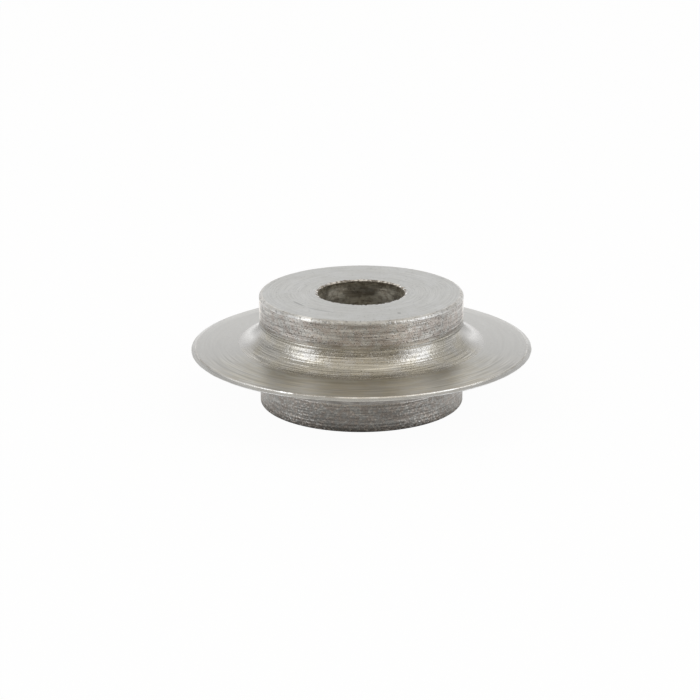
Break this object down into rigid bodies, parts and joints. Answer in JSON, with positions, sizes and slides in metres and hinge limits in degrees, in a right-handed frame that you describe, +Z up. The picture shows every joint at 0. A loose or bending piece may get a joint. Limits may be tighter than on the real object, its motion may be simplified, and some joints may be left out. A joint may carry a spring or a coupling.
{
  "type": "pipe cutter wheel",
  "caption": "Turned steel cutter wheel: a thin disc blade with a honed edge stands in the middle of a bored hub, with concave fillets at its root. It rolls on a pin to cut pipe.",
  "frame": {"origin": "on the bore's axis, in the cutting plane, midway between the hub faces", "axes": "+Z up along the bore's axis; the wheel lies on its lower hub face, and it is the same all round the axis and on both sides of the cutting plane"},
  "size_m": [0.0188, 0.0188, 0.0062],
  "materials": {
    "tool_steel": "bare hardened steel, turned collars and fillets with fine ring marks, ground hub faces and disc flanks"
  },
  "bodies": {
    "root": {"cutter_wheel": "tool_steel"}
  },
  "joints": []
}
